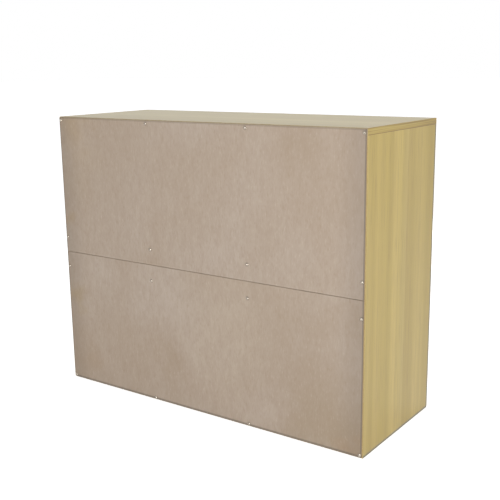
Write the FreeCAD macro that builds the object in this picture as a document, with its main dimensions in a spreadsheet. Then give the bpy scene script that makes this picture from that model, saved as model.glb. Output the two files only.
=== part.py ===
import FreeCAD, Part
import os
import re
import Sketcher

# Literature organizer: a laminated board carcass with three columns of slide-in hardboard shelves.
# Millimetres, +Z up, front towards -Y, origin at the middle of the base.
# Every piece is drawn in the case frame: X from the middle, Y from the front plane, Z from the floor.

# Driving dimensions
SIZES = {
    "case_width": 790,
    "case_height": 630,
    "case_depth": 297,
    "board_thickness": 12,
    "band_thickness": 1,
    "column_count": 3,
    "row_count": 8,
    "back_thickness": 3,
    "back_inset": 2,
    "back_seam_gap": 1,
    "shelf_thickness": 3,
    "shelf_rest_gap": 0.1,
    "shelf_side_gap": 0.5,
    "shelf_back_gap": 1,
    "groove_depth": 3,
    "groove_play": 0.4,
    "holder_wall": 1.2,
    "holder_grip": 9,
    "holder_drop": 14,
    "holder_setback": 1,
    "holder_side_gap": 0.6,
    "label_slot": 0.8,
    "label_lip": 2,
    "bolt_spacing": 200,
    "bolt_thread_diameter": 5,
    "bolt_thread_length": 8,
    "bolt_shank_diameter": 4,
    "bolt_head_diameter": 5.6,
    "bolt_head_length": 4,
    "cam_diameter": 12,
    "cam_edge_distance": 24,
    "cam_floor": 2,
    "cam_slot_length": 8,
    "cam_slot_width": 1.4,
    "cam_slot_depth": 1.5,
    "dowel_spacing": 120,
    "dowel_diameter": 6,
    "dowel_face_length": 8,
    "dowel_end_length": 17,
    "dowel_chamfer": 0.8,
    "bore_play": 0.1,
    "bore_end_gap": 0.5,
    "screw_seam_distance": 35,
    "screw_length": 16,
    "screw_shank_diameter": 3,
    "screw_tip_length": 4,
    "screw_head_diameter": 7,
    "screw_head_height": 1.8,
    "screw_head_rim": 0.7,
    "screw_head_flat": 4.4,
    "screw_slot_length": 3.6,
    "screw_slot_width": 0.9,
    "screw_slot_depth": 0.9,
    "screw_hole_play": 0.4,
}

doc = FreeCAD.newDocument("LiteratureOrganizer")
sheet = doc.addObject("Spreadsheet::Sheet", "Sizes")
for line, (alias, size) in enumerate(SIZES.items(), start=1):
    sheet.set(f"A{line}", alias)
    sheet.set(f"B{line}", str(size))
    sheet.setAlias(f"B{line}", alias)
doc.recompute()

COLUMNS = int(sheet.get("column_count"))
ROWS = int(sheet.get("row_count"))

# Places that several pieces share
FRONT = "-(case_depth + back_thickness + screw_head_height) / 2"
UPRIGHT_TOP = "(case_height - board_thickness)"
COLUMN_PITCH = "(case_width - board_thickness) / column_count"
CLEAR_WIDTH = f"({COLUMN_PITCH} - board_thickness)"
LEVEL_PITCH = "(case_height - 2 * board_thickness) / row_count"
SHELF_FRONT = "(holder_setback + 2 * holder_wall + label_slot)"
BOLT_ROWS = ["(case_depth - bolt_spacing) / 2", "(case_depth + bolt_spacing) / 2"]
DOWEL_ROWS = ["(case_depth - dowel_spacing) / 2", "(case_depth + dowel_spacing) / 2"]
SCREW_ROWS = [
    "board_thickness / 2",
    "case_height / 2 - screw_seam_distance",
    "case_height / 2 + screw_seam_distance",
    "case_height - board_thickness / 2",
]
CAM_DEPTH = "(board_thickness - cam_floor)"


def upright_x(index):
    """Middle of an upright board, counted from the left side panel."""
    return f"(-(case_width - board_thickness) / 2 + {index} * {COLUMN_PITCH})"


def level_z(level):
    """Middle plane of a shelf, counted from the bottom panel."""
    return f"(board_thickness + {level} * {LEVEL_PITCH})"


# Ways to draw and cut


def bind(thing, name, formula):
    """Tie a property to a formula in which each word that is an alias reads its cell."""
    cells = re.sub(r"[a-z_]+", lambda word: f"Sizes.{word[0]}" if word[0] in SIZES else word[0], formula)
    thing.setExpression(name, cells)


def new_body(label, x="0", y=FRONT, z="0"):
    """A body of its own, placed in the organizer's frame."""
    body = doc.addObject("PartDesign::Body", label)
    body.Label = label
    bind(body, "Placement.Base.x", x)
    bind(body, "Placement.Base.y", y)
    bind(body, "Placement.Base.z", z)
    return body


def origin_item(body, role):
    return next(item for item in body.Origin.OriginFeatures if item.Role == role)


def new_sketch(body, name, plane, offset="0"):
    """A sketch on a plane of the body's origin, moved along that plane's normal."""
    sketch = body.newObject("Sketcher::SketchObject", name)
    sketch.AttachmentSupport = [(origin_item(body, plane), "")]
    sketch.MapMode = "FlatFace"
    bind(sketch, "AttachmentOffset.Base.z", offset)
    return sketch


def pin_point(sketch, geometry, vertex, start, place):
    """Hold one point of a sketch at a place given by two formulas."""
    for kind, value, formula in zip(("DistanceX", "DistanceY"), start, place):
        index = sketch.addConstraint(Sketcher.Constraint(kind, -1, 1, geometry, vertex, value))
        bind(sketch, f"Constraints[{index}]", formula)


def outline(sketch, corners):
    """A closed outline through corners that are given as pairs of formulas."""
    count = len(corners)
    turn = FreeCAD.Rotation(FreeCAD.Vector(0, 0, 1), 360 / count)
    spots = [FreeCAD.Vector(1, 0, 0)]
    while len(spots) < count:
        spots.append(turn.multVec(spots[-1]))
    first = sketch.GeometryCount
    for index, spot in enumerate(spots):
        sketch.addGeometry(Part.LineSegment(spot, spots[(index + 1) % count]), False)
    for index, spot in enumerate(spots):
        edge = first + index
        next_edge = first + (index + 1) % count
        sketch.addConstraint(Sketcher.Constraint("Coincident", edge, 2, next_edge, 1))
        pin_point(sketch, edge, 1, (spot.x, spot.y), corners[index])


def rectangle(sketch, left, low, right, high):
    outline(sketch, [(left, low), (right, low), (right, high), (left, high)])


def circles(sketch, centres, diameter):
    """Equal circles at centres that are given as pairs of formulas."""
    for centre in centres:
        start = FreeCAD.Vector(sketch.GeometryCount, 0, 0)
        ring = sketch.addGeometry(Part.Circle(start, FreeCAD.Vector(0, 0, 1), 1), False)
        pin_point(sketch, ring, 3, (start.x, start.y), centre)
        size = sketch.addConstraint(Sketcher.Constraint("Diameter", ring, 2))
        bind(sketch, f"Constraints[{size}]", diameter)


def pad(body, sketch, length, symmetric=False):
    feature = body.newObject("PartDesign::Pad", f"{sketch.Name}Pad")
    feature.Profile = sketch
    feature.SideType = "Symmetric" if symmetric else "One side"
    bind(feature, "Length", length)
    doc.recompute()
    return feature


def revolve(body, sketch):
    """Turn a half outline once round the sketch's vertical axis."""
    feature = body.newObject("PartDesign::Revolution", f"{sketch.Name}Turn")
    feature.Profile = sketch
    feature.ReferenceAxis = (sketch, ["V_Axis"])
    doc.recompute()
    return feature


def cut(body, sketch, depth=None, along_normal=False):
    """A pocket against the sketch's normal, or along it, to a depth or through everything."""
    before = body.Shape.Volume
    feature = body.newObject("PartDesign::Pocket", f"{sketch.Name}Cut")
    feature.Profile = sketch
    feature.Reversed = along_normal
    if depth:
        bind(feature, "Length", depth)
    else:
        feature.Type = "ThroughAll"
    doc.recompute()
    if body.Shape.Volume >= before:
        raise RuntimeError(f"{sketch.Label} in {body.Label} cuts nothing")
    return feature


def bore(body, name, plane, offset, centres, diameter, depth, along_normal=False):
    """Equal round holes from one plane."""
    sketch = new_sketch(body, name, plane, offset)
    circles(sketch, centres, diameter)
    return cut(body, sketch, depth, along_normal)


# Sizes of the bores that the fasteners go in
THREAD_BORE = ("bolt_thread_diameter + bore_play", "bolt_thread_length + bore_end_gap")
BOLT_BORE = ("bolt_head_diameter + bore_play", "cam_edge_distance + bolt_head_length / 2 + bore_end_gap")
CAM_BORE = ("cam_diameter + bore_play", CAM_DEPTH)
DOWEL_FACE_BORE = ("dowel_diameter + bore_play", "dowel_face_length + bore_end_gap")
DOWEL_END_BORE = ("dowel_diameter + bore_play", "dowel_end_length + bore_end_gap")
SCREW_BORE = ("screw_shank_diameter + bore_play", "screw_length - back_thickness + bore_end_gap")


def rear_bores(body, centres):
    """Pilot holes for the back screws, in a board's rear edge."""
    bore(body, "ScrewBores", "XZ_Plane", "-case_depth", centres, *SCREW_BORE, along_normal=True)


# Side panels and dividers


def grooved_board(label, index, foot, sides, front, rear):
    """An upright piece with one groove for each shelf in each face that meets a column."""
    body = new_body(label, x=upright_x(index))
    board = new_sketch(body, "Outline", "XY_Plane", foot)
    rectangle(board, "-board_thickness / 2", front, "board_thickness / 2", rear)
    pad(body, board, f"{UPRIGHT_TOP} - {foot}")
    grooves = new_sketch(body, "Groove", "XZ_Plane")
    low = f"{level_z(1)} - shelf_thickness / 2 - shelf_rest_gap"
    for side in sides:
        face = f"{side} * board_thickness / 2"
        floor = f"{side} * (board_thickness / 2 - groove_depth)"
        left, right = (floor, face) if side > 0 else (face, floor)
        rectangle(grooves, left, low, right, f"{low} + shelf_thickness + groove_play")
    first = cut(body, grooves)
    rows = body.newObject("PartDesign::LinearPattern", "Grooves")
    rows.Originals = [first]
    rows.Direction = (origin_item(body, "Z_Axis"), [""])
    rows.Mode = "Spacing"
    bind(rows, "Offset", LEVEL_PITCH)
    bind(rows, "Occurrences", "row_count - 1")
    body.Tip = rows
    doc.recompute()
    return body


def end_joint(body, name, face, upwards, cam_side):
    """Bores in an upright's end for the cam bolts and dowels, and the cam pockets beside them."""
    bolts = [("0", row) for row in BOLT_ROWS]
    dowels = [("0", row) for row in DOWEL_ROWS]
    bore(body, f"{name}BoltBores", "XY_Plane", face, bolts, *BOLT_BORE, along_normal=upwards)
    bore(body, f"{name}DowelBores", "XY_Plane", face, dowels, *DOWEL_END_BORE, along_normal=upwards)
    height = f"{face} {'+' if upwards else '-'} cam_edge_distance"
    cams = [(row, height) for row in BOLT_ROWS]
    cam_face = f"{cam_side} * board_thickness / 2"
    bore(body, f"{name}CamBores", "YZ_Plane", cam_face, cams, *CAM_BORE, along_normal=cam_side < 0)


def cam_side(index):
    """The cams open towards the middle of the organizer."""
    return 1 if 2 * index < COLUMNS else -1


def side_panel(label, index):
    """A side panel stands on the floor and carries the bottom panel on its inner face."""
    inward = cam_side(index)
    body = grooved_board(label, index, "0", [inward], "band_thickness", "case_depth")
    end_joint(body, "Top", UPRIGHT_TOP, False, inward)
    face = f"{inward} * board_thickness / 2"
    bolts = [(row, "board_thickness / 2") for row in BOLT_ROWS]
    dowels = [(row, "board_thickness / 2") for row in DOWEL_ROWS]
    bore(body, "ThreadBores", "YZ_Plane", face, bolts, *THREAD_BORE, along_normal=inward < 0)
    bore(body, "DowelBores", "YZ_Plane", face, dowels, *DOWEL_FACE_BORE, along_normal=inward < 0)
    rear_bores(body, [("0", row) for row in SCREW_ROWS[:3]])
    return body


def divider(label, index):
    """A divider stands on the bottom panel."""
    body = grooved_board(label, index, "board_thickness", [1, -1], "band_thickness", "case_depth")
    end_joint(body, "Top", UPRIGHT_TOP, False, cam_side(index))
    end_joint(body, "Foot", "board_thickness", True, cam_side(index))
    rear_bores(body, [("0", row) for row in SCREW_ROWS[1:3]])
    return body


def front_band(label, index, foot, sides):
    """The edge band on an upright's front edge, cut through by the grooves."""
    return grooved_board(label, index, foot, sides, "0", "band_thickness")


# Top and bottom panels


def level_panel(label, half_width, low):
    """A level board behind its front edge band."""
    body = new_body(label)
    board = new_sketch(body, "Outline", "XY_Plane", low)
    rectangle(board, f"-({half_width})", "band_thickness", half_width, "case_depth")
    pad(body, board, "board_thickness")
    return body


def face_bores(body, face, indexes, upwards):
    """Bores in a level panel's face for the cam bolts and dowels of the uprights."""
    bolts = [(upright_x(index), row) for index in indexes for row in BOLT_ROWS]
    dowels = [(upright_x(index), row) for index in indexes for row in DOWEL_ROWS]
    bore(body, "ThreadBores", "XY_Plane", face, bolts, *THREAD_BORE, along_normal=upwards)
    bore(body, "FaceDowelBores", "XY_Plane", face, dowels, *DOWEL_FACE_BORE, along_normal=upwards)


def top_panel():
    """The top panel laps over the side panels."""
    body = level_panel("top_panel", "case_width / 2 - band_thickness", UPRIGHT_TOP)
    face_bores(body, UPRIGHT_TOP, range(COLUMNS + 1), True)
    rear_bores(body, [(upright_x(index), SCREW_ROWS[3]) for index in range(COLUMNS + 1)])
    return body


def bottom_panel():
    """The bottom panel hangs between the side panels, with its cams in the underside."""
    half_width = "(case_width / 2 - board_thickness)"
    body = level_panel("bottom_panel", half_width, "0")
    dividers = range(1, COLUMNS)
    face_bores(body, "board_thickness", dividers, False)
    bolts = [(row, "board_thickness / 2") for row in BOLT_ROWS]
    dowels = [(row, "board_thickness / 2") for row in DOWEL_ROWS]
    for name, side in (("Left", -1), ("Right", 1)):
        end = f"{side} * {half_width}"
        bore(body, f"{name}BoltBores", "YZ_Plane", end, bolts, *BOLT_BORE, along_normal=side < 0)
        bore(body, f"{name}DowelBores", "YZ_Plane", end, dowels, *DOWEL_END_BORE, along_normal=side < 0)
        cams = [(f"{side} * ({half_width} - cam_edge_distance)", row) for row in BOLT_ROWS]
        bore(body, f"{name}CamBores", "XY_Plane", "0", cams, *CAM_BORE, along_normal=True)
    rear_bores(body, [(upright_x(index), SCREW_ROWS[0]) for index in dividers])
    return body


def bottom_band():
    """The edge band on the bottom panel's front edge, between the side bands."""
    body = new_body("bottom_edge_band")
    strip = new_sketch(body, "Outline", "XY_Plane")
    half_width = "case_width / 2 - board_thickness"
    rectangle(strip, f"-({half_width})", "0", half_width, "band_thickness")
    pad(body, strip, "board_thickness")
    return body


def top_bands():
    """Three strips round the top panel: one on the front edge between two on the ends."""
    inner = "(case_width / 2 - band_thickness)"
    strips = []
    for name, left, length, depth in (
        ("FrontStrip", f"-{inner}", f"2 * {inner}", "band_thickness"),
        ("LeftStrip", "-case_width / 2", "band_thickness", "case_depth"),
        ("RightStrip", inner, "band_thickness", "case_depth"),
    ):
        strip = doc.addObject("Part::Box", name)
        bind(strip, "Length", length)
        bind(strip, "Width", depth)
        bind(strip, "Height", "board_thickness")
        bind(strip, "Placement.Base.x", left)
        bind(strip, "Placement.Base.y", FRONT)
        bind(strip, "Placement.Base.z", UPRIGHT_TOP)
        strips.append(strip)
    bands = doc.addObject("Part::Compound", "top_edge_bands")
    bands.Label = "top_edge_bands"
    bands.Links = strips
    return bands


# Back sheets


def back_sheet(label, low, high, screw_rows):
    """One of the two hardboard sheets that close the back."""
    body = new_body(label)
    rear_face = "-(case_depth + back_thickness)"
    board = new_sketch(body, "Outline", "XZ_Plane", rear_face)
    half_width = "(case_width / 2 - back_inset)"
    rectangle(board, f"-{half_width}", low, half_width, high)
    pad(body, board, "back_thickness")
    holes = [(upright_x(index), row) for index in range(COLUMNS + 1) for row in screw_rows]
    diameter = "screw_shank_diameter + screw_hole_play"
    bore(body, "ScrewHoles", "XZ_Plane", rear_face, holes, diameter, None, along_normal=True)
    return body


# Shelves and label holders


def shelf(column, level):
    """A loose hardboard shelf in the grooves of one column."""
    middle = f"({upright_x(column)} + {COLUMN_PITCH} / 2)"
    body = new_body(f"column_{column + 1}_shelf_{level}", x=middle, z=level_z(level))
    board = new_sketch(body, "Outline", "XY_Plane", "-shelf_thickness / 2")
    half_width = f"({CLEAR_WIDTH} / 2 + groove_depth - shelf_side_gap)"
    rectangle(board, f"-{half_width}", SHELF_FRONT, half_width, "case_depth - shelf_back_gap")
    pad(body, board, "shelf_thickness")
    return body


def label_holder(column, level):
    """A plastic moulding that grips the shelf's front edge and holds a paper label behind two lips."""
    middle = f"({upright_x(column)} + {COLUMN_PITCH} / 2)"
    body = new_body(f"column_{column + 1}_label_holder_{level}", x=middle, z=level_z(level))
    section = new_sketch(body, "Section", "YZ_Plane")
    lip_front = "holder_setback"
    lip_rear = "(holder_setback + holder_wall)"
    plate_front = "(holder_setback + holder_wall + label_slot)"
    grip_rear = f"({SHELF_FRONT} + holder_grip)"
    shelf_top = "shelf_thickness / 2"
    shelf_low = "-shelf_thickness / 2"
    grip_top = "(shelf_thickness / 2 + holder_wall)"
    grip_low = "-(shelf_thickness / 2 + holder_wall)"
    slot_low = "(holder_wall - holder_drop)"
    outline(section, [
        (lip_front, grip_top),
        (grip_rear, grip_top),
        (grip_rear, shelf_top),
        (SHELF_FRONT, shelf_top),
        (SHELF_FRONT, shelf_low),
        (grip_rear, shelf_low),
        (grip_rear, grip_low),
        (SHELF_FRONT, grip_low),
        (SHELF_FRONT, "-holder_drop"),
        (lip_front, "-holder_drop"),
        (lip_front, f"{slot_low} + label_lip"),
        (lip_rear, f"{slot_low} + label_lip"),
        (lip_rear, slot_low),
        (plate_front, slot_low),
        (plate_front, shelf_top),
        (lip_rear, shelf_top),
        (lip_rear, f"{shelf_top} - label_lip"),
        (lip_front, f"{shelf_top} - label_lip"),
    ])
    pad(body, section, f"{CLEAR_WIDTH} - 2 * holder_side_gap", symmetric=True)
    return body


# Fasteners, each drawn once with its seat at the origin and repeated as links


def cam_bolt():
    """The thread points up from the joint plane, and the head hangs at the cam's middle."""
    body = doc.addObject("PartDesign::Body", "cam_bolt_pattern")
    half = new_sketch(body, "Half", "XZ_Plane")
    head_top = "-(cam_edge_distance - bolt_head_length / 2)"
    head_low = "-(cam_edge_distance + bolt_head_length / 2)"
    outline(half, [
        ("0", head_low),
        ("bolt_head_diameter / 2", head_low),
        ("bolt_head_diameter / 2", head_top),
        ("bolt_shank_diameter / 2", head_top),
        ("bolt_shank_diameter / 2", "0"),
        ("bolt_thread_diameter / 2", "0"),
        ("bolt_thread_diameter / 2", "bolt_thread_length"),
        ("0", "bolt_thread_length"),
    ])
    revolve(body, half)
    return body


def cam_lock():
    """A disc whose face looks along +X, hollow from its rim to past its middle for the bolt's head."""
    body = doc.addObject("PartDesign::Body", "cam_lock_pattern")
    face = "(board_thickness / 2)"
    disc = new_sketch(body, "Disc", "YZ_Plane", face)
    circles(disc, [("0", "-cam_edge_distance")], "cam_diameter")
    barrel = pad(body, disc, f"{CAM_DEPTH} - bore_play")
    barrel.Reversed = True
    doc.recompute()
    low = "-(cam_edge_distance + bolt_head_length / 2 + bore_end_gap)"
    width = "bolt_head_diameter + 2 * bore_play"
    bore(body, "Cavity", "XY_Plane", low, [("0", "0")], width, None, along_normal=True)
    slot = new_sketch(body, "Slot", "YZ_Plane", face)
    low = "-cam_edge_distance - cam_slot_width / 2"
    rectangle(slot, "-cam_slot_length / 2", low, "cam_slot_length / 2", f"{low} + cam_slot_width")
    cut(body, slot, "cam_slot_depth")
    return body


def dowel():
    """A chamfered wooden pin across the joint plane."""
    body = doc.addObject("PartDesign::Body", "dowel_pattern")
    half = new_sketch(body, "Half", "XZ_Plane")
    radius = "dowel_diameter / 2"
    outline(half, [
        ("0", "-dowel_end_length"),
        (f"{radius} - dowel_chamfer", "-dowel_end_length"),
        (radius, "-dowel_end_length + dowel_chamfer"),
        (radius, "dowel_face_length - dowel_chamfer"),
        (f"{radius} - dowel_chamfer", "dowel_face_length"),
        ("0", "dowel_face_length"),
    ])
    revolve(body, half)
    return body


def back_screw():
    """A pan-head wood screw whose head rests on the plane that its shank goes down from."""
    body = doc.addObject("PartDesign::Body", "back_screw_pattern")
    half = new_sketch(body, "Half", "XZ_Plane")
    shank = "screw_shank_diameter / 2"
    head = "screw_head_diameter / 2"
    outline(half, [
        ("0", "-screw_length"),
        (shank, "-(screw_length - screw_tip_length)"),
        (shank, "0"),
        (head, "0"),
        (head, "screw_head_rim"),
        ("screw_head_flat / 2", "screw_head_height"),
        ("0", "screw_head_height"),
    ])
    revolve(body, half)
    half_length = "screw_slot_length / 2"
    half_width = "screw_slot_width / 2"
    for name, across, along in (("Slot", half_length, half_width), ("CrossSlot", half_width, half_length)):
        recess = new_sketch(body, name, "XY_Plane", "screw_head_height")
        rectangle(recess, f"-{across}", f"-{along}", across, along)
        cut(body, recess, "screw_slot_depth")
    return body


def link_group(label, pattern, places):
    """Copies of one fastener as a group of separate solids."""
    links = []
    for number, (x, y, z, turn) in enumerate(places, start=1):
        copy = doc.addObject("App::Link", f"{label}_{number}")
        copy.LinkedObject = pattern
        copy.Placement = FreeCAD.Placement(FreeCAD.Vector(), turn)
        bind(copy, "Placement.Base.x", x)
        bind(copy, "Placement.Base.y", f"{FRONT} + {y}")
        bind(copy, "Placement.Base.z", z)
        links.append(copy)
    group = doc.addObject("Part::Compound", label)
    group.Label = label
    group.Links = links
    return group


WAYS = {
    "left": FreeCAD.Vector(-1, 0, 0),
    "right": FreeCAD.Vector(1, 0, 0),
    "up": FreeCAD.Vector(0, 0, 1),
    "down": FreeCAD.Vector(0, 0, -1),
}


def turned(cam_way, bolt_way):
    """The turn that takes +X to where the cam opens and +Z to the board that the thread goes in."""
    return FreeCAD.Rotation(WAYS[cam_way], FreeCAD.Vector(), WAYS[bolt_way], "ZXY")


def joint_places(rows):
    """Seats of the carcass joints: uprights under the top, dividers on the bottom, bottom in the sides."""
    places = []
    for row in rows:
        for index in range(COLUMNS + 1):
            cam_way = "right" if cam_side(index) > 0 else "left"
            places.append((upright_x(index), row, UPRIGHT_TOP, turned(cam_way, "up")))
            if 0 < index < COLUMNS:
                places.append((upright_x(index), row, "board_thickness", turned(cam_way, "down")))
        for side, bolt_way in ((-1, "left"), (1, "right")):
            x = f"{side} * (case_width / 2 - board_thickness)"
            places.append((x, row, "board_thickness / 2", turned("down", bolt_way)))
    return places


def screw_places():
    """Four rows of screws on the middle planes of the boards behind the back sheets."""
    outwards = FreeCAD.Rotation(FreeCAD.Vector(1, 0, 0), -90)
    rear = "(case_depth + back_thickness)"
    return [(upright_x(index), rear, row, outwards) for row in SCREW_ROWS for index in range(COLUMNS + 1)]


# The organizer, piece by piece

pieces = [
    top_panel(),
    top_bands(),
    side_panel("left_side_panel", 0),
    front_band("left_side_edge_band", 0, "0", [1]),
    side_panel("right_side_panel", COLUMNS),
    front_band("right_side_edge_band", COLUMNS, "0", [-1]),
    bottom_panel(),
    bottom_band(),
]
for index in range(1, COLUMNS):
    pieces.append(divider(f"divider_{index}", index))
    pieces.append(front_band(f"divider_{index}_edge_band", index, "board_thickness", [1, -1]))

pieces.append(back_sheet(
    "lower_back_sheet", "back_inset", "(case_height - back_seam_gap) / 2", SCREW_ROWS[:2],
))
pieces.append(back_sheet(
    "upper_back_sheet", "(case_height + back_seam_gap) / 2", "case_height - back_inset", SCREW_ROWS[2:],
))

for column in range(COLUMNS):
    for level in range(1, ROWS):
        pieces.append(shelf(column, level))
        pieces.append(label_holder(column, level))

pieces.append(link_group("cam_bolts", cam_bolt(), joint_places(BOLT_ROWS)))
pieces.append(link_group("cam_locks", cam_lock(), joint_places(BOLT_ROWS)))
pieces.append(link_group("dowels", dowel(), joint_places(DOWEL_ROWS)))
pieces.append(link_group("back_screws", back_screw(), screw_places()))
doc.recompute()

# Every object is sound before anything is written
for item in doc.Objects:
    if "Invalid" in item.State or "Error" in item.State:
        raise RuntimeError(f"{item.Label} failed: {item.State}")
for piece in pieces:
    if piece.Shape.isNull() or not piece.Shape.isValid():
        raise RuntimeError(f"{piece.Label} has no valid shape")

os.makedirs("parts", exist_ok=True)
for piece in pieces:
    piece.Shape.exportStep(f"parts/{piece.Label}.step")
    box = piece.Shape.BoundBox
    print(f"{piece.Label}: {len(piece.Shape.Solids)} solids, {piece.Shape.Volume:.0f} mm3,",
          f"{box.XLength:.1f} x {box.YLength:.1f} x {box.ZLength:.1f} at z {box.ZMin:.1f}")
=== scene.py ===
import math
import bmesh
import bpy
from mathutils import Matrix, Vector


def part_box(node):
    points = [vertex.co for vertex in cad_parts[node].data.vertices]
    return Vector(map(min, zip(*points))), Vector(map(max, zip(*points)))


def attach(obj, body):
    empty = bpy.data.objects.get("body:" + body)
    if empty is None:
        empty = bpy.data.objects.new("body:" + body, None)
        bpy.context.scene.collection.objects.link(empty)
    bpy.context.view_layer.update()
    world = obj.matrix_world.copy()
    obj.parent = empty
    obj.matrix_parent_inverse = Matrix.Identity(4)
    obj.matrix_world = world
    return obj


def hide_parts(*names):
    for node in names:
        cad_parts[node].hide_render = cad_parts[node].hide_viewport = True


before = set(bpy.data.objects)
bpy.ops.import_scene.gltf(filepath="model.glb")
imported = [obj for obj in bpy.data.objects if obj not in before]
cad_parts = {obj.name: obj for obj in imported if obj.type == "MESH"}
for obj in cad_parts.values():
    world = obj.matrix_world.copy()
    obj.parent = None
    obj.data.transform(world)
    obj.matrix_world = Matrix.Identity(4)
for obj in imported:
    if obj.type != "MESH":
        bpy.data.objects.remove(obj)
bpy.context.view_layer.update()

# Carcass boards
# Six boards of 12 mm chipboard, faced on both sides with melamine paper that is printed as straight-grained
# oak. Cams and dowels join them, so nothing shows outside. Grooves and bores are bare chip, and so are the
# rear edges, which are stained.

MM = 0.001
PAPER = 0.2 * MM
STAVE = 170 * MM
STAVE_START = -20 * MM
STAVE_LIGHT_EDGE = 35 * MM
STAVE_DARK_EDGE = 90 * MM
FIGURE = (48 * MM, 1900 * MM)
STREAK = (6 * MM, 500 * MM)
FIBRE = (1.6 * MM, 60 * MM)
CHIP = 2.2 * MM
JOINT_LINE = 1.0 * MM
FOOT_SHADOW = 6 * MM
FRONT_LINE = 6 * MM
BROWNED_FRONT = 70 * MM
HAIRLINE = 0.01 * MM
EDGE_STAIN = 0.7
PRINT_RELIEF = 0.05 * MM
CHIP_ROUGHNESS = 0.85
PAPER_ROUGHNESS = 0.33
GRAIN_UP = (0, 0, 0)
GRAIN_ACROSS = (0, math.radians(90), 0)


def linear(colour):
    """An sRGB hex colour as the linear red, green, blue and alpha that a shader takes."""
    channels = [int(colour[place:place + 2], 16) / 255 for place in (0, 2, 4)]
    return [c / 12.92 if c <= 0.04045 else ((c + 0.055) / 1.055) ** 2.4 for c in channels] + [1]


def add(tree, kind, inputs=None, **settings):
    """Add a node with its settings. An input takes a value, a hex colour, another node or its output."""
    node = tree.nodes.new(kind)
    for name, setting in settings.items():
        setattr(node, name, setting)
    for name, value in (inputs or {}).items():
        socket = node.inputs[name] if isinstance(name, int) else next(
            shown for shown in node.inputs if shown.name == name and shown.enabled)
        if isinstance(value, bpy.types.Node):
            value = next(output for output in value.outputs if output.enabled)
        if isinstance(value, bpy.types.NodeSocket):
            tree.links.new(value, socket)
        else:
            socket.default_value = linear(value) if socket.type == "RGBA" else value
    return node


def new_material(name):
    material = bpy.data.materials.new(name)
    material.use_nodes = True
    material.node_tree.nodes.clear()
    return material, material.node_tree


def streaks(tree, place, size, seed, detail=2):
    """A pattern of streaks that has a size of its own along each axis."""
    drawn = add(tree, "ShaderNodeMapping", {"Vector": place, "Scale": size}, vector_type="TEXTURE")
    return add(tree, "ShaderNodeTexNoise", {"Vector": drawn, "W": seed, "Scale": 1, "Detail": detail},
               noise_dimensions="4D")


def grain(tree, place, size, seed, detail=2):
    """Streaks as wide as the first size across, and as long as the second along Z."""
    width, length = size
    return streaks(tree, place, (width, width, length), seed, detail)


def tint(tree, under, over, pattern, start, full, strength=1):
    """Lay a colour over another where a pattern goes from a start level to its full level."""
    share = add(tree, "ShaderNodeMapRange", {"Value": pattern, "From Min": start, "From Max": full,
                                             "To Max": strength}, interpolation_type="SMOOTHSTEP")
    return add(tree, "ShaderNodeMix", {"Factor": share, "A": under, "B": over}, data_type="RGBA")


def chipboard_edge(tree, place):
    """Pressed wood chips, sawn through: pale flakes with darker pits between them."""
    flakes = add(tree, "ShaderNodeTexVoronoi", {"Vector": place, "Scale": 1 / CHIP}).outputs["Color"]
    return tint(tree, "C4B38C", "D9CCAE", flakes, 0.2, 0.8)


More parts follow.
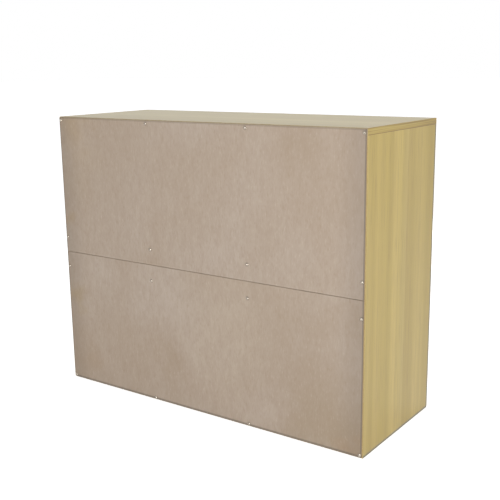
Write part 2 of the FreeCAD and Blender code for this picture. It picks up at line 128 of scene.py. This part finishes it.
def melamine_oak(name, node, turn, seed):
    """Satin paper foil in a yellow medium oak. The print has broad staves, a faint figure and fine fibres.
    Level boards take a greyer copy of the print, painted for the light on the top, and painted shade makes
    them darker towards +X. Upright boards are a little browner towards the open front. All are grey along the
    front, and the sides have a painted shadow along the foot. The rear edge is stained chip."""
    material, tree = new_material(name)
    low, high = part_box(node)
    half_thickness = (high - low)[2 if turn == GRAIN_ACROSS else 0] / 2
    half_depth = (high - low).y / 2
    coordinates = add(tree, "ShaderNodeTexCoord").outputs["Object"]
    place = add(tree, "ShaderNodeMapping", {"Vector": coordinates, "Location": (low + high) / 2,
                                            "Rotation": turn}, vector_type="TEXTURE")
    axes = add(tree, "ShaderNodeSeparateXYZ", {0: place}).outputs
    fibre = grain(tree, place, FIBRE, seed + 2)
    across = add(tree, "ShaderNodeMath", {0: axes["Y"], 1: -STAVE_START}, operation="ADD")
    stave = add(tree, "ShaderNodeMath", {0: across, 1: STAVE}, operation="SNAP")
    stave_tone = add(tree, "ShaderNodeTexWhiteNoise", {"W": add(tree, "ShaderNodeMath", {0: stave, 1: seed})},
                     noise_dimensions="1D").outputs["Value"]
    into_stave = add(tree, "ShaderNodeMath", {0: across, 1: STAVE}, operation="FLOORED_MODULO")
    # Level boards take a greyer, duller copy of the same print, painted to match how light falls on the top
    pale, deep = ("C5AD5D", "AF9744") if turn == GRAIN_UP else ("BCAB6E", "AA9956")
    paper = tint(tree, deep, pale, grain(tree, place, FIGURE, seed), 0.3, 0.7)
    paper = tint(tree, paper, "A88C4C", stave_tone, 0, 1, 0.25)
    paper = tint(tree, paper, "C9B577", into_stave, STAVE_LIGHT_EDGE, 0, 0.3)
    paper = tint(tree, paper, "A08648", into_stave, STAVE - STAVE_DARK_EDGE, STAVE, 0.22)
    paper = tint(tree, paper, "A18548", grain(tree, place, STREAK, seed + 1, 3), 0.42, 0.7, 0.3)
    paper = tint(tree, paper, "917540", fibre, 0.5, 0.75, 0.5)
    stained = "A88E4E" if turn == GRAIN_UP else "8E7F6B"
    core = tint(tree, chipboard_edge(tree, place), stained, axes["Y"], half_depth - HAIRLINE, half_depth,
                EDGE_STAIN)
    if turn == GRAIN_UP:
        paper = tint(tree, paper, "A98F3C", axes["Y"], BROWNED_FRONT - half_depth, -half_depth, 0.6)
        # A dark line along the top end: painted shade of the gap under the top, together with the glue line
        joint = (high.z - low.z) / 2 - JOINT_LINE
        paper = tint(tree, paper, "6E4A10", axes["Z"], joint, joint + HAIRLINE, 0.9)
        # A painted shadow along the foot, where the board stands on the floor
        height = add(tree, "ShaderNodeSeparateXYZ", {0: coordinates}).outputs["Z"]
        paper = tint(tree, paper, "67655B", height, FOOT_SHADOW, FOOT_SHADOW / 2, 0.8)
    else:
        # Painted shade: level boards grow darker and duller towards +X, where less light reaches the top
        half_length = (high - low).x / 2
        paper = tint(tree, paper, "8F8462", axes["Z"], -half_length / 2, half_length, 0.16)
    paper = tint(tree, paper, "5F5F52", axes["Y"], FRONT_LINE - half_depth, FRONT_LINE / 2 - half_depth, 0.8)
    depth = add(tree, "ShaderNodeMath", {0: axes["X"]}, operation="ABSOLUTE")
    faced = add(tree, "ShaderNodeMath", {0: depth, 1: half_thickness - PAPER}, operation="GREATER_THAN")
    colour = add(tree, "ShaderNodeMix", {"Factor": faced, "A": core, "B": paper}, data_type="RGBA")
    dull = add(tree, "ShaderNodeMix", {"Factor": faced, "A": CHIP_ROUGHNESS, "B": PAPER_ROUGHNESS})
    relief = add(tree, "ShaderNodeBump", {"Height": fibre, "Strength": 0.15, "Distance": PRINT_RELIEF})
    surface = add(tree, "ShaderNodeBsdfPrincipled",
                  {"Base Color": colour, "Roughness": dull, "Normal": relief})
    add(tree, "ShaderNodeOutputMaterial", {"Surface": surface})
    return material


def dress(node, material):
    """Give a CAD node its finish."""
    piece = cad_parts[node]
    piece.data.materials.clear()
    piece.data.materials.append(material)


for seed, (node, turn) in enumerate({
    "top_panel": GRAIN_ACROSS,
    "bottom_panel": GRAIN_ACROSS,
    "left_side_panel": GRAIN_UP,
    "right_side_panel": GRAIN_UP,
    "divider_1": GRAIN_UP,
    "divider_2": GRAIN_UP,
}.items()):
    dress(node, melamine_oak(f"melamine_oak_{node}", node, turn, 10 * seed))

# Edge bands
# Strips of 1 mm PVC, printed to match the boards and glued on by machine: along the front edge of each
# board and round the two ends of the top.

BAND_STREAK = (3 * MM, 300 * MM)
BAND_ROUGHNESS = 0.38


def printed_pvc(name, level, seed):
    """Printed plastic strip, a little browner and smoother than the paper, with its grain along the strip."""
    material, tree = new_material(name)
    width, length = BAND_STREAK
    size = (length, length, width) if level else (width, width, length)
    place = add(tree, "ShaderNodeTexCoord").outputs["Object"]
    lines = streaks(tree, place, size, seed, 3)
    colour = tint(tree, "B7A057", "A98F44", lines, 0.35, 0.5)
    colour = tint(tree, colour, "8A7032", lines, 0.5, 0.62, 0.8)
    surface = add(tree, "ShaderNodeBsdfPrincipled", {"Base Color": colour, "Roughness": BAND_ROUGHNESS})
    add(tree, "ShaderNodeOutputMaterial", {"Surface": surface})
    return material


level_band = printed_pvc("printed_pvc_level", True, 70)
upright_band = printed_pvc("printed_pvc_upright", False, 71)
for node in ("top_edge_bands", "bottom_edge_band"):
    dress(node, level_band)
for node in ("left_side_edge_band", "right_side_edge_band", "divider_1_edge_band", "divider_2_edge_band"):
    dress(node, upright_band)

# Back sheets
# Two sheets of 3 mm hardboard, pressed from wood fibre with the smooth face out and left bare. They meet
# in a straight seam at half height, and 16 screws hold them to the boards' rear edges.

SHEET_SKIN = 0.15 * MM
CLOUD = (190 * MM, 260 * MM)
MOTTLE = (9 * MM, 24 * MM)
FLECK = (3 * MM, 9 * MM)
STAIN_WANDER = 50 * MM
SHEET_RIM = 3 * MM
DARKER_SIDES = 70 * MM
SCREW_SHADE = 6.5 * MM
SEAM_DISTANCE = 35 * MM
RAGGEDNESS = 12
FIBRE_RELIEF = 0.2 * MM
SHEET_ROUGHNESS = 0.75
# Each stain has its middle in X and Z, its radius, its colour and its strength
UPPER_STAINS = [
    (0.36, 0.62, 0.10, "AF9468", 0.4),
    (0.33, 0.53, 0.10, "A9967A", 0.2),
    (-0.26, 0.61, 0.10, "A08D78", 0.45),
    (0.39, 0.40, 0.05, "AE9160", 0.4),
]
LOWER_STAINS = [
    (-0.08, 0.20, 0.20, "B9AA99", 0.6),
    (0.37, 0.07, 0.12, "9F886E", 0.4),
    (-0.33, 0.05, 0.14, "93805F", 0.5),
    (-0.36, 0.02, 0.05, "A88560", 0.5),
    (0.08, 0.10, 0.10, "9C8871", 0.4),
    (0.38, 0.20, 0.06, "A88F5E", 0.5),
    (-0.26, 0.14, 0.22, "A08D78", 0.6),
]


def stain(tree, colour, place, middle, radius, over, strength):
    """A round patch that fades out from its middle."""
    x, z = middle
    near = add(tree, "ShaderNodeMapping", {"Vector": place, "Location": (x, rear, z), "Scale": (radius,) * 3},
               vector_type="TEXTURE")
    patch = add(tree, "ShaderNodeTexGradient", {"Vector": near}, gradient_type="SPHERICAL")
    return tint(tree, colour, over, patch, 0, 1, strength)


def bare_hardboard(name, node, stains, outer_edge, rows, seed):
    """Pressed fibre, matt and softly mottled. It is stained with age and darker towards both sides and along
    its rim. The lower sheet has a painted shadow along its foot, and painted shade rings each screw head.
    The sawn edges are darker."""
    material, tree = new_material(name)
    low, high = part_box(node)
    middle, half = (low + high) / 2, (high - low) / 2
    place = add(tree, "ShaderNodeTexCoord").outputs["Object"]
    fleck = grain(tree, place, FLECK, seed + 2)
    colour = tint(tree, "AC9B8A", "B4A597", grain(tree, place, CLOUD, seed, 3), 0.35, 0.65)
    ragged = add(tree, "ShaderNodeTexNoise", {"Vector": place, "W": seed, "Scale": RAGGEDNESS, "Detail": 3},
                 noise_dimensions="4D", normalize=False).outputs["Color"]
    ragged = add(tree, "ShaderNodeVectorMath", {0: ragged, 1: (STAIN_WANDER,) * 3, 2: place},
                 operation="MULTIPLY_ADD")
    for x, z, radius, over, strength in stains:
        colour = stain(tree, colour, ragged, (x, z), radius, over, strength)
    colour = tint(tree, colour, "9E8B77", grain(tree, place, MOTTLE, seed + 1, 3), 0.3, 0.7, 0.3)
    colour = tint(tree, colour, "957F68", fleck, 0.5, 0.8, 0.35)
    colour = tint(tree, colour, "C6B7A7", fleck, 0.45, 0.2, 0.35)
    # Painted shade round each screw head, darker on the sheet under its rim
    for x in upright_middles:
        for z in rows:
            colour = stain(tree, colour, place, (x, z), SCREW_SHADE, "6F5D4A", 0.6)
    axes = add(tree, "ShaderNodeSeparateXYZ", {0: place}).outputs
    side_rim = add(tree, "ShaderNodeMath", {0: axes["X"]}, operation="ABSOLUTE")
    colour = tint(tree, colour, "7A6D5F", side_rim, half.x - DARKER_SIDES, half.x, 0.35)
    colour = tint(tree, colour, "5F574B", side_rim, half.x - SHEET_RIM, half.x - SHEET_RIM / 2, 0.6)
    # The upper sheet is darker along its top edge. The lower one has a painted shadow along its foot, where
    # it stands on the floor.
    reach, edge_darkening = (SHEET_RIM, 0.25) if outer_edge > middle.z else (-FOOT_SHADOW, 0.6)
    colour = tint(tree, colour, "5F574B", axes["Z"], outer_edge - reach, outer_edge - reach / 2, edge_darkening)
    colour = tint(tree, "A18F74", colour, axes["Y"], high.y - SHEET_SKIN - HAIRLINE, high.y - SHEET_SKIN)
    relief = add(tree, "ShaderNodeBump", {"Height": fleck, "Strength": 0.2, "Distance": FIBRE_RELIEF})
    surface = add(tree, "ShaderNodeBsdfPrincipled",
                  {"Base Color": colour, "Roughness": SHEET_ROUGHNESS, "Normal": relief})
    add(tree, "ShaderNodeOutputMaterial", {"Surface": surface})
    return material


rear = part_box("upper_back_sheet")[1].y
foot, seam = (corner.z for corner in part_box("lower_back_sheet"))
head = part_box("upper_back_sheet")[1].z
half_board = (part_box("top_panel")[1].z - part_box("top_panel")[0].z) / 2
uprights = ("left_side_panel", "divider_1", "divider_2", "right_side_panel")
upright_middles = [sum(corner.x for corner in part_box(node)) / 2 for node in uprights]
upper_rows = (seam + SEAM_DISTANCE, head - half_board)
lower_rows = (half_board, seam - SEAM_DISTANCE)
upper_board = bare_hardboard("hardboard_upper", "upper_back_sheet", UPPER_STAINS, head, upper_rows, 30)
lower_board = bare_hardboard("hardboard_lower", "lower_back_sheet", LOWER_STAINS, foot, lower_rows, 35)
dress("upper_back_sheet", upper_board)
dress("lower_back_sheet", lower_board)

# Shelves
# Twenty-one loose sheets of 3 mm hardboard, smoother and darker than the back. They slide in grooves in
# the uprights, and the front edge of each carries a label holder.

SHELF_CLOUD = (60 * MM, 60 * MM)
SHELF_FLECK = (1.5 * MM, 1.5 * MM)
SHELF_ROUGHNESS = 0.5


def smooth_hardboard(name, seed):
    """Pressed brown fibre with a smooth, slightly polished face and fine dark flecks."""
    material, tree = new_material(name)
    place = add(tree, "ShaderNodeTexCoord").outputs["Object"]
    colour = tint(tree, "8B6C4C", "A28262", grain(tree, place, SHELF_CLOUD, seed, 3), 0.35, 0.65)
    colour = tint(tree, colour, "6B5038", grain(tree, place, SHELF_FLECK, seed + 1, 3), 0.5, 0.75, 0.5)
    surface = add(tree, "ShaderNodeBsdfPrincipled", {"Base Color": colour, "Roughness": SHELF_ROUGHNESS})
    add(tree, "ShaderNodeOutputMaterial", {"Surface": surface})
    return material


shelf_board = smooth_hardboard("smooth_hardboard", 50)
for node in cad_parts:
    if "_shelf_" in node:
        dress(node, shelf_board)

# Label holders
# Channels of black polystyrene, extruded and cut to length. Each grips its shelf's front edge, and takes
# a paper label behind two lips.

EXTRUSION_LINE = (0.8 * MM, 400 * MM)
HOLDER_SMOOTHEST, HOLDER_ROUGHEST = 0.3, 0.42


def extruded_plastic(name, seed):
    """Black polystyrene, satin, with faint drawn lines along the extrusion."""
    material, tree = new_material(name)
    place = add(tree, "ShaderNodeTexCoord").outputs["Object"]
    width, length = EXTRUSION_LINE
    lines = streaks(tree, place, (length, width, width), seed)
    colour = tint(tree, "1B1B1C", "262627", lines, 0.3, 0.7)
    dull = add(tree, "ShaderNodeMapRange", {"Value": lines, "From Min": 0.3, "From Max": 0.7,
                                            "To Min": HOLDER_SMOOTHEST, "To Max": HOLDER_ROUGHEST})
    surface = add(tree, "ShaderNodeBsdfPrincipled", {"Base Color": colour, "Roughness": dull})
    add(tree, "ShaderNodeOutputMaterial", {"Surface": surface})
    return material


holder_plastic = extruded_plastic("extruded_black_plastic", 60)
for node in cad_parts:
    if "_label_holder_" in node:
        dress(node, holder_plastic)

# Back screws
# Sixteen zinc-plated pan-head wood screws, turned in from behind through the back sheets and into the
# boards' edges. Each stopped at a turn of its own, so the cross recesses stand at all angles.

HEAD_RADIUS = 3.5 * MM
HEAD_HEIGHT = 1.8 * MM
HEAD_RIM = 0.4 * MM
HEAD_CROWN = 5.5 * MM
HEAD_CROWN_REACH = 3.0 * MM
CROWN_RINGS = 28
ROUND_RINGS = 6
HEAD_LOWER_EDGE = 0.1 * MM
RECESS_REACH = 1.9 * MM
RECESS_HALF_WIDTH = 0.42 * MM
RECESS_DEPTH = 1.1 * MM
RECESS_WALL = 0.3 * MM
RECESS_RISE = 0.6
SCREW_LENGTH = 16 * MM
SCREW_RADIUS = 1.5 * MM
SCREW_CORE = 1.05 * MM
SCREW_TIP = 4 * MM
SCREW_PITCH = 1.3 * MM
SCREW_SIDES = 48
RINGS_PER_TURN = 6
THREAD_STEEPNESS = 2.5
SHARP_FROM = math.radians(38)
ZINC_CLOUD = 0.4 * MM
# The rim of each screw head is painted in shade from this height down to the sheet
SHADED_RIM_FROM = 0.9 * MM
RIM_SHADE_DEPTH = 0.4 * MM
RIM_SHADE_ROUGHNESS = 0.85


def turned_skin(profile, sides, shape):
    """A closed skin of rings round Z. Each ring is a radius and a height, and shape moves its points."""
    skin = bmesh.new()
    rows = []
    for radius, height in profile:
        angles = [side * math.tau / sides for side in range(sides if radius else 1)]
        rows.append([skin.verts.new(shape(radius, height, angle)) for angle in angles])
    for upper, lower in zip(rows, rows[1:]):
        for side in range(sides):
            after = (side + 1) % sides
            corners = [upper[side % len(upper)], lower[side % len(lower)],
                       lower[after % len(lower)], upper[after % len(upper)]]
            skin.faces.new(list(dict.fromkeys(corners)))
    bmesh.ops.recalc_face_normals(skin, faces=skin.faces)
    mesh = bpy.data.meshes.new("turned_skin")
    skin.to_mesh(mesh)
    skin.free()
    return mesh


def around(radius, height, angle):
    return Vector((radius * math.cos(angle), radius * math.sin(angle), height))


def thread_share(height, angle, pitch):
    """How far a thread stands out at a place on a shank, from 0 in the root to 1 on the crest."""
    turn = (height / pitch - angle / math.tau) % 1
    return max(0, 1 - THREAD_STEEPNESS * abs(turn - 0.5))


def recess_depth(x, y):
    """Depth of the cross recess, deepest in the middle, with sloped walls."""
    walls = []
    for along, across in ((abs(x), abs(y)), (abs(y), abs(x))):
        inside = min(RECESS_REACH - along, RECESS_HALF_WIDTH - across)
        walls.append(min(max(0.5 + inside / RECESS_WALL, 0), 1))
    return RECESS_DEPTH * max(walls) * (1 - RECESS_RISE * math.hypot(x, y) / RECESS_REACH)


def screw_shape(radius, height, angle):
    spot = around(radius, height, angle)
    if height > HEAD_RIM and radius < RECESS_REACH + RECESS_HALF_WIDTH:
        spot.z -= recess_depth(spot.x, spot.y)
    if height < 0 and radius:
        taper = min(1, (height + SCREW_LENGTH) / SCREW_TIP)
        crest = SCREW_CORE + (SCREW_RADIUS - SCREW_CORE) * thread_share(height, angle, SCREW_PITCH)
        spot = around(crest * taper, height, angle)
    return spot


def screw_profile():
    """The head from its middle out and round its dome, its flat underside, and the threaded shank."""
    rings = [(0, HEAD_HEIGHT)]
    for ring in range(1, CROWN_RINGS + 1):
        radius = HEAD_CROWN_REACH * ring / CROWN_RINGS
        rings.append((radius, HEAD_HEIGHT - HEAD_CROWN + math.sqrt(HEAD_CROWN ** 2 - radius ** 2)))
    radius, height = rings[-1]
    for ring in range(1, ROUND_RINGS + 1):
        arc = math.radians(90) * ring / ROUND_RINGS
        rings.append((radius + (HEAD_RADIUS - radius) * math.sin(arc),
                      HEAD_RIM + (height - HEAD_RIM) * math.cos(arc)))
    rings += [(HEAD_RADIUS, HEAD_LOWER_EDGE), (HEAD_RADIUS - HEAD_LOWER_EDGE, 0), (SCREW_RADIUS, 0)]
    shank_rings = round(SCREW_LENGTH / SCREW_PITCH * RINGS_PER_TURN)
    rings += [(SCREW_RADIUS, -SCREW_LENGTH * ring / shank_rings) for ring in range(1, shank_rings)]
    return rings + [(0, -SCREW_LENGTH)]


def set_out_tree():
    """Geometry nodes that put a copy of a piece on each point, turned the way that the point says."""
    tree = bpy.data.node_groups.new("set_out", "GeometryNodeTree")
    for name, way, kind in (
        ("Places", "INPUT", "NodeSocketGeometry"),
        ("Piece", "INPUT", "NodeSocketObject"),
        ("Finish", "INPUT", "NodeSocketMaterial"),
        ("Free Turn", "INPUT", "NodeSocketFloat"),
        ("Seed", "INPUT", "NodeSocketInt"),
        ("Pieces", "OUTPUT", "NodeSocketGeometry"),
    ):
        tree.interface.new_socket(name, in_out=way, socket_type=kind)
    given = add(tree, "NodeGroupInput").outputs
    way = add(tree, "GeometryNodeInputNamedAttribute", {"Name": "way"}, data_type="FLOAT_VECTOR")
    face = add(tree, "GeometryNodeInputNamedAttribute", {"Name": "face"}, data_type="FLOAT_VECTOR")
    turn = add(tree, "FunctionNodeAlignRotationToVector", {"Vector": way}, axis="Z")
    turn = add(tree, "FunctionNodeAlignRotationToVector", {"Rotation": turn, "Vector": face},
               axis="X", pivot_axis="Z")
    spin = add(tree, "FunctionNodeRandomValue", {"Min": 0, "Max": given["Free Turn"], "Seed": given["Seed"]})
    spin = add(tree, "FunctionNodeAxisAngleToRotation", {"Axis": (0, 0, 1), "Angle": spin})
    turn = add(tree, "FunctionNodeRotateRotation", {"Rotation": turn, "Rotate By": spin},
               rotation_space="LOCAL")
    piece = add(tree, "GeometryNodeObjectInfo", {"Object": given["Piece"]}).outputs["Geometry"]
    copies = add(tree, "GeometryNodeInstanceOnPoints", {"Points": given["Places"], "Instance": piece,
                                                        "Rotation": turn})
    real = add(tree, "GeometryNodeRealizeInstances", {"Geometry": copies})
    finished = add(tree, "GeometryNodeSetMaterial", {"Geometry": real, "Material": given["Finish"]})
    add(tree, "NodeGroupOutput", {"Pieces": finished})
    return tree


set_out = set_out_tree()


def fasteners(name, pattern, seats, finish, node, free_turn=0, seed=0):
    """One mesh of equal fasteners in the cabinet. A seat is a place, a way to point and a way to face."""
    original = bpy.data.objects.new(f"{name}_pattern", pattern)
    bpy.context.scene.collection.objects.link(original)
    points = bpy.data.meshes.new(f"{name}_seats")
    points.from_pydata([place for place, way, face in seats], [], [])
    for number, label in ((1, "way"), (2, "face")):
        vectors = points.attributes.new(label, "FLOAT_VECTOR", "POINT")
        vectors.data.foreach_set("vector", [part for seat in seats for part in seat[number]])
    holder = bpy.data.objects.new(f"{name}_seats", points)
    bpy.context.scene.collection.objects.link(holder)
    nodes = holder.modifiers.new("set_out", "NODES")
    nodes.node_group = set_out
    inputs = {socket.name: socket.identifier for socket in set_out.interface.items_tree}
    for label, value in (("Piece", original), ("Finish", finish), ("Free Turn", free_turn), ("Seed", seed)):
        nodes[inputs[label]] = value
    graph = bpy.context.evaluated_depsgraph_get()
    mesh = bpy.data.meshes.new_from_object(holder.evaluated_get(graph))
    holder.modifiers.remove(nodes)
    bpy.data.objects.remove(holder)
    bpy.data.objects.remove(original)
    mesh.shade_smooth()
    mesh.set_sharp_from_angle(angle=SHARP_FROM)
    group = bpy.data.objects.new(name, mesh)
    bpy.context.scene.collection.objects.link(group)
    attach(group, "cabinet")
    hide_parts(node)


def zinc(name, bright, dark, smoothest, roughest, seed, shaded_from=None):
    """Zinc with a fine cloud in its tone and its gloss. Close to a plane, painted shade makes it dark and
    matt.
    """
    material, tree = new_material(name)
    place = add(tree, "ShaderNodeTexCoord").outputs["Object"]
    cloud = grain(tree, place, (ZINC_CLOUD, ZINC_CLOUD), seed)
    tone = tint(tree, bright, dark, cloud, 0.3, 0.7)
    dull = add(tree, "ShaderNodeMapRange", {"Value": cloud, "From Min": 0.3, "From Max": 0.7,
                                            "To Min": smoothest, "To Max": roughest})
    surface = add(tree, "ShaderNodeBsdfPrincipled", {"Base Color": tone, "Metallic": 1, "Roughness": dull})
    # Painted shade: the rim of the head, next to the sheet, is dark and matt
    if shaded_from:
        rearward = add(tree, "ShaderNodeSeparateXYZ", {0: place}).outputs["Y"]
        rim_shaded = add(tree, "ShaderNodeMapRange", {"Value": rearward, "From Min": shaded_from,
                                                  "From Max": shaded_from - RIM_SHADE_DEPTH})
        rim_shade = add(tree, "ShaderNodeBsdfPrincipled", {"Base Color": "6E6152", "Roughness": RIM_SHADE_ROUGHNESS})
        surface = add(tree, "ShaderNodeMixShader", {0: rim_shaded, 1: surface, 2: rim_shade})
    add(tree, "ShaderNodeOutputMaterial", {"Surface": surface})
    return material


screw_seats = [((x, rear, z), (0, 1, 0), (1, 0, 0)) for z in lower_rows + upper_rows for x in upright_middles]
screw_zinc = zinc("zinc_plated_screw", "BBB3A6", "888075", 0.16, 0.26, 90, shaded_from=rear + SHADED_RIM_FROM)
fasteners("pan_head_screws", turned_skin(screw_profile(), SCREW_SIDES, screw_shape), screw_seats, screw_zinc,
          "back_screws", free_turn=math.tau, seed=8)

# Cam bolts
# Sixteen zinc-plated steel bolts, two in each joint between boards. The thread is driven into the face of
# one board, and the cam in the other board draws the head in.

BOLT_SPACING = 200 * MM
BOLT_THREAD = (2.5 * MM, 8 * MM)
BOLT_CORE = 1.8 * MM
BOLT_PITCH = 2 * MM
BOLT_SHANK = 2 * MM
BOLT_NECK = 22 * MM
BOLT_HEAD = (2.8 * MM, 26 * MM)
BOLT_ROUND = 0.4 * MM
BOLT_SIDES = 24
BOLT_THREAD_RINGS = 36


def bolt_shape(radius, height, angle):
    if height > 0 and radius > BOLT_SHANK:
        radius = BOLT_CORE + (radius - BOLT_CORE) * thread_share(height, angle, BOLT_PITCH)
    return around(radius, height, angle)


def bolt_profile():
    """The threaded end, the collar at the joint, the shank and the barrel head."""
    reach, length = BOLT_THREAD
    head, low = BOLT_HEAD
    rings = [(0, length), (BOLT_CORE, length)]
    rings += [(reach, length * (1 - ring / BOLT_THREAD_RINGS)) for ring in range(1, BOLT_THREAD_RINGS)]
    return rings + [(reach, 0), (BOLT_SHANK, 0), (BOLT_SHANK, -BOLT_NECK), (head - BOLT_ROUND, -BOLT_NECK),
                    (head, -BOLT_NECK - BOLT_ROUND), (head, -low + BOLT_ROUND), (head - BOLT_ROUND, -low),
                    (0, -low)]


case_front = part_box("left_side_edge_band")[0].y
case_middle = (case_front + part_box("left_side_panel")[1].y) / 2
upright_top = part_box("left_side_panel")[1].z
divider_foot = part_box("divider_1")[0].z
bottom_low, bottom_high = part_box("bottom_panel")
joints = [(x, upright_top, (0, 0, 1)) for x in upright_middles]
joints += [(x, divider_foot, (0, 0, -1)) for x in upright_middles[1:-1]]
joints += [(bottom_low.x, half_board, (-1, 0, 0)), (bottom_high.x, half_board, (1, 0, 0))]


def joint_seats(spacing):
    """Two seats in each joint, as far before the middle of the depth as behind it."""
    return [((x, case_middle + side * spacing / 2, z), way, (0, 1, 0))
            for x, z, way in joints for side in (-1, 1)]


bolt_zinc = zinc("zinc_plated_bolt", "CFCFCB", "A9A9A4", 0.26, 0.38, 91)
fasteners("threaded_cam_bolts", turned_skin(bolt_profile(), BOLT_SIDES, bolt_shape),
          joint_seats(BOLT_SPACING), bolt_zinc, "cam_bolts")

# Dowels
# Sixteen beech pins with chamfered ends and pressed flutes that let the glue rise. They stand between the
# cam bolts and keep the boards in line.

DOWEL_SPACING = 120 * MM
DOWEL_RADIUS = 3 * MM
DOWEL_ENDS = (8 * MM, -17 * MM)
DOWEL_CHAMFER = 0.8 * MM
FLUTES = 16
FLUTE_DEPTH = 0.25 * MM
BEECH_ROUGHNESS = 0.7


def dowel_shape(radius, height, angle):
    flute = FLUTE_DEPTH * (0.5 + 0.5 * math.cos(FLUTES * angle))
    return around(radius - flute if radius > DOWEL_RADIUS - DOWEL_CHAMFER / 2 else radius, height, angle)


def dowel_profile():
    top, low = DOWEL_ENDS
    return [(0, top), (DOWEL_RADIUS - DOWEL_CHAMFER, top), (DOWEL_RADIUS, top - DOWEL_CHAMFER),
            (DOWEL_RADIUS, low + DOWEL_CHAMFER), (DOWEL_RADIUS - DOWEL_CHAMFER, low), (0, low)]


def raw_beech(name, seed):
    """Turned beech, dry and pale, with fine pores."""
    material, tree = new_material(name)
    place = add(tree, "ShaderNodeTexCoord").outputs["Object"]
    colour = tint(tree, "C9A274", "DDBE92", grain(tree, place, FIBRE, seed), 0.3, 0.7)
    surface = add(tree, "ShaderNodeBsdfPrincipled", {"Base Color": colour, "Roughness": BEECH_ROUGHNESS})
    add(tree, "ShaderNodeOutputMaterial", {"Surface": surface})
    return material


fasteners("fluted_dowels", turned_skin(dowel_profile(), 4 * FLUTES, dowel_shape), joint_seats(DOWEL_SPACING),
          raw_beech("raw_beech", 95), "dowels", free_turn=math.tau, seed=7)

# Cam locks
# Sixteen discs of die-cast zinc, pushed into bores beside the joints. A half turn with a screwdriver in the
# slot draws the bolt's head in.

dress("cam_locks", zinc("die_cast_zinc", "BBBCBD", "9A9B9C", 0.36, 0.48, 92))

# Floor, lights and camera
# A wide pale floor in a white room. Three softboxes stand round the back and one before the open front, a
# low lamp gives the screw heads their glint, and three broad fills keep every side at a plain level.

FLOOR_SIZE = 60
FLOOR_GLOW = 0.7
ROOM_LIGHT = 0.35
LAMPS_AIM = Vector((0, 0, 0.3))
FILL_SPREAD = math.radians(50)
LENS = 60.06
CAMERA_PLACE = Vector((-1.0803, 1.4669, 0.7456))
CAMERA_WAY = Vector((0.56748, -0.79352, -0.21977))
CAMERA_ROLL = math.radians(-0.80)


def looked_at(tree):
    """1 where a surface is seen by the camera, or in a mirror or glass, and 0 where it only sheds light."""
    path = add(tree, "ShaderNodeLightPath").outputs
    seen = add(tree, "ShaderNodeMath", {0: path["Is Camera Ray"], 1: path["Is Glossy Ray"]},
               operation="MAXIMUM")
    return add(tree, "ShaderNodeMath", {0: seen, 1: path["Is Transmission Ray"]}, operation="MAXIMUM")


floor_mesh = bpy.data.meshes.new("floor")
half_floor = FLOOR_SIZE / 2
corners = [(-half_floor, -half_floor, 0), (half_floor, -half_floor, 0),
           (half_floor, half_floor, 0), (-half_floor, half_floor, 0)]
floor_mesh.from_pydata(corners, [], [(0, 1, 2, 3)])
floor = bpy.data.objects.new("floor", floor_mesh)
bpy.context.scene.collection.objects.link(floor)
material, tree = new_material("pale_floor")
shade = add(tree, "ShaderNodeBsdfDiffuse", {"Color": "E8E8E8"})
glow = add(tree, "ShaderNodeMath", {0: looked_at(tree), 1: FLOOR_GLOW}, operation="MULTIPLY")
glow = add(tree, "ShaderNodeEmission", {"Color": "FFFFFF", "Strength": glow})
both = add(tree, "ShaderNodeAddShader", {0: shade, 1: glow})
add(tree, "ShaderNodeOutputMaterial", {"Surface": both})
floor.data.materials.append(material)

world = bpy.data.worlds.new("studio")
world.use_nodes = True
bpy.context.scene.world = world
tree = world.node_tree
tree.nodes.clear()
strength = add(tree, "ShaderNodeMapRange", {"Value": looked_at(tree), "To Min": ROOM_LIGHT, "To Max": 1})
sky = add(tree, "ShaderNodeBackground", {"Color": "FFFFFF", "Strength": strength})
add(tree, "ShaderNodeOutputWorld", {"Surface": sky})


def lamp(kind, name, place, power, size, glint=False):
    """A soft lamp at a place, turned to the organizer. A glint is seen in gloss alone, any other in none."""
    light = bpy.data.lights.new(name, kind)
    light.energy = power
    if kind == "SUN":
        light.angle = size
    else:
        light.size = size
    stand = bpy.data.objects.new(name, light)
    stand.location = place
    stand.rotation_euler = (LAMPS_AIM - Vector(place)).to_track_quat("-Z", "Y").to_euler()
    stand.visible_glossy = glint
    stand.visible_diffuse = not glint
    stand.visible_camera = False
    bpy.context.scene.collection.objects.link(stand)


lamp("AREA", "key_softbox", (-1.8, 1.9, 0.72), 17, 1.2)
lamp("AREA", "near_softbox", (-1.7, 1.4, 1.3), 10, 0.5)
lamp("AREA", "rear_softbox", (-0.3, 2.6, 1.4), 6, 0.6)
lamp("AREA", "glint_lamp", (0.05, 2.7, 0.3), 26, 0.6, glint=True)
lamp("AREA", "front_softbox", (0.6, -2.2, 0.45), 23, 1.5)
lamp("SUN", "rear_fill", (-3.0, 4.0, 0.7), 1.0, FILL_SPREAD)
lamp("SUN", "front_fill", (3.0, -4.0, 0.9), 1.9, FILL_SPREAD)
lamp("SUN", "side_fill", (5.0, -1.0, 0.9), 0.9, FILL_SPREAD)

camera_data = bpy.data.cameras.new("camera")
camera_data.lens = LENS
camera = bpy.data.objects.new("camera", camera_data)
camera.location = CAMERA_PLACE
camera.rotation_euler = CAMERA_WAY.to_track_quat("-Z", "Y").to_euler()
camera.rotation_euler.rotate_axis("Z", CAMERA_ROLL)
bpy.context.scene.collection.objects.link(camera)
bpy.context.scene.camera = camera
bpy.context.scene.view_settings.view_transform = "Standard"
